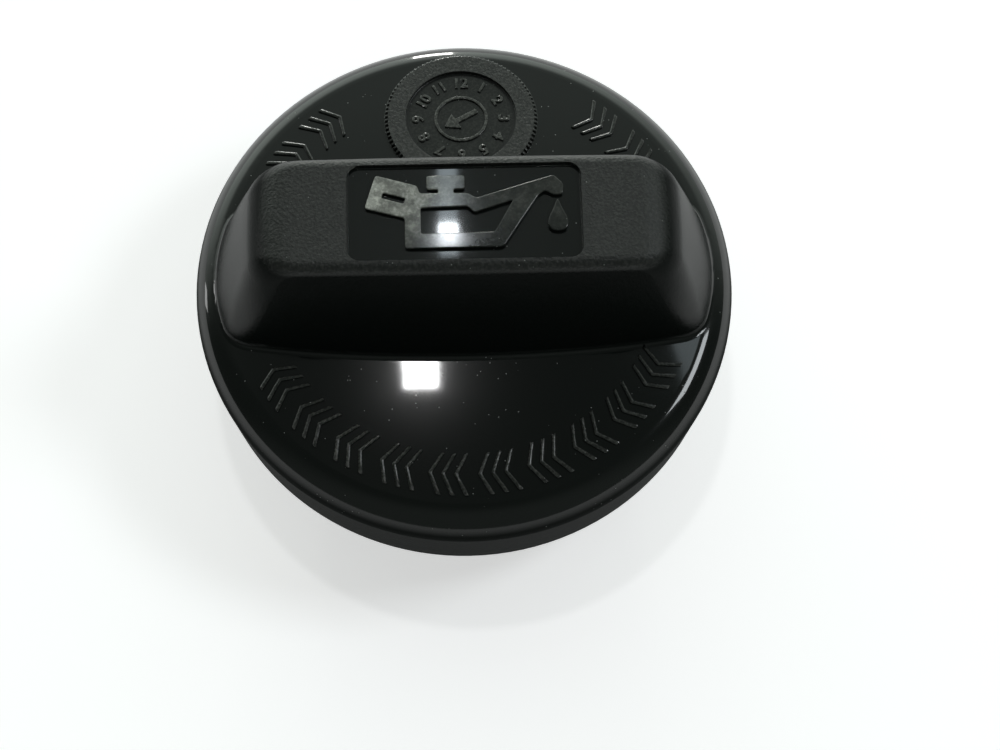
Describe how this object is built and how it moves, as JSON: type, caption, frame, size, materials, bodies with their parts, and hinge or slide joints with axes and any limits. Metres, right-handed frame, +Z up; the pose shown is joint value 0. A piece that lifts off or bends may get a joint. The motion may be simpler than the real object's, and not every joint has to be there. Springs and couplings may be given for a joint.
{
  "type": "engine oil filler cap",
  "caption": "Domed black moulded screw cap for an engine's oil filler neck, with a bar grip, a sunk sign panel, a raised medallion, a hollow spigot and a rubber sealing ring.",
  "frame": {"origin": "centre of the spigot's lower end, on which the cap stands", "axes": "+Z up along the cap's axis, X along the bar grip, +Y towards the medallion"},
  "size_m": [0.06, 0.06, 0.0368],
  "materials": {
    "black_plastic": "black moulded plastic: polished dome, spark-eroded grain on the grip, satin skirt",
    "seal_rubber": "black nitrile rubber with a fine moulded bloom"
  },
  "bodies": {
    "root": {"cap": "black_plastic", "sealing_ring": "seal_rubber"}
  },
  "joints": []
}
